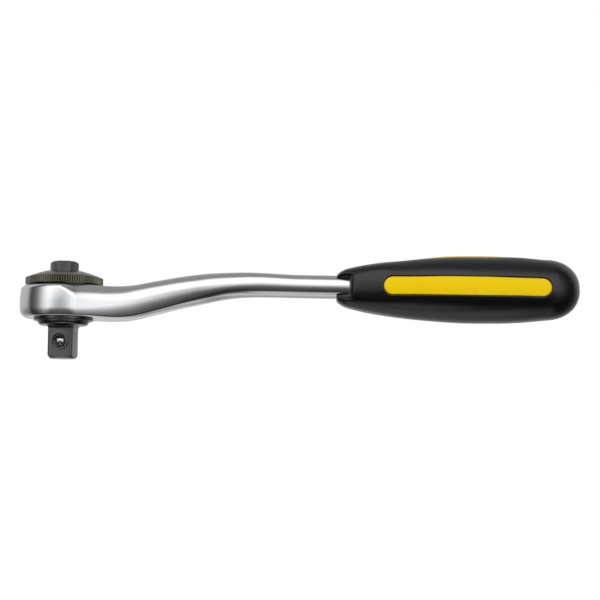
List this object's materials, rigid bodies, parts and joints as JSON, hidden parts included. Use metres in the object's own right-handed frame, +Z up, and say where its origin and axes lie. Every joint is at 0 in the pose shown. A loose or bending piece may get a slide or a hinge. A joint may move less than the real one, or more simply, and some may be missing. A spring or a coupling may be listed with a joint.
{
  "type": "reversible ratchet wrench",
  "caption": "Reversible ratchet wrench: square drive with a detent ball, round toothed head with a knurled reversing disc, cranked round shank and a black and yellow moulded grip",
  "frame": {"origin": "centre of the end face of the square drive", "axes": "+Z up the drive axis from the square to the reversing disc, +X from the head along the shank to the grip, +Y to the far side as pictured"},
  "size_m": [0.2795, 0.0436, 0.0549],
  "materials": {
    "satin_chrome": "forged alloy steel, satin chrome plated",
    "blackened_steel": "turned steel, phosphated and oiled black",
    "hardened_steel": "hardened bright steel",
    "black_grip": "moulded elastomer, smooth, half-matt",
    "yellow_core": "moulded polypropylene, satin gloss"
  },
  "bodies": {
    "body": {"ratchet_body": "satin_chrome", "retaining_ring": "blackened_steel", "grip_core": "yellow_core", "grip_cover": "black_grip", "dust_seal": "black_grip", "friction_washer": "hardened_steel"},
    "drive": {"drive_anvil": "blackened_steel", "pawl_pin_front": "hardened_steel", "pawl_pin_rear": "hardened_steel", "stop_pin": "hardened_steel", "detent_spring": "hardened_steel"},
    "ball": {"detent_ball": "hardened_steel"},
    "front_pawl": {"pawl_front": "hardened_steel"},
    "rear_pawl": {"pawl_rear": "hardened_steel"},
    "selector": {"reversing_disc": "blackened_steel", "selector_stem": "hardened_steel", "hex_screw": "blackened_steel", "plunger_spring": "hardened_steel"},
    "front_plunger": {"plunger_front": "hardened_steel"},
    "rear_plunger": {"plunger_rear": "hardened_steel"}
  },
  "joints": [
    {"name": "drive_spin", "type": "hinge", "parent": "body", "child": "drive", "pos_m": [0, 0, 0.0278], "axis": [0, 0, 1], "continuous": true},
    {"name": "selector_turn", "type": "hinge", "parent": "drive", "child": "selector", "pos_m": [0, 0, 0.0363], "axis": [0, 0, 1], "range_deg": [-25, 25]},
    {"name": "pawl_front_rock", "type": "hinge", "parent": "drive", "child": "front_pawl", "pos_m": [-0.01024, 0.00181, 0.0279], "axis": [0, 0, 1], "range_deg": [-11, 11]},
    {"name": "pawl_rear_rock", "type": "hinge", "parent": "drive", "child": "rear_pawl", "pos_m": [0.01024, -0.00181, 0.0279], "axis": [0, 0, 1], "range_deg": [-11, 11]},
    {"name": "ball_press", "type": "slide", "parent": "drive", "child": "ball", "axis": [0.1736, 0.9848, 0], "range_m": [0, 0.0011], "stiffness_N_per_m": 300, "springref_m": -0.002, "deforming": ["detent_spring"]},
    {"name": "plunger_front_press", "type": "slide", "parent": "selector", "child": "front_plunger", "axis": [0.9848, -0.1736, 0], "range_m": [0, 0.001], "stiffness_N_per_m": 200, "springref_m": -0.002, "deforming": ["plunger_spring"]},
    {"name": "plunger_rear_press", "type": "slide", "parent": "selector", "child": "rear_plunger", "axis": [-0.9848, 0.1736, 0], "range_m": [0, 0.001], "stiffness_N_per_m": 200, "springref_m": -0.002, "deforming": ["plunger_spring"]}
  ],
  "couplings": [
    {"joint": "pawl_front_rock", "follows": "selector_turn", "ratio": -0.44},
    {"joint": "pawl_rear_rock", "follows": "selector_turn", "ratio": -0.44}
  ]
}
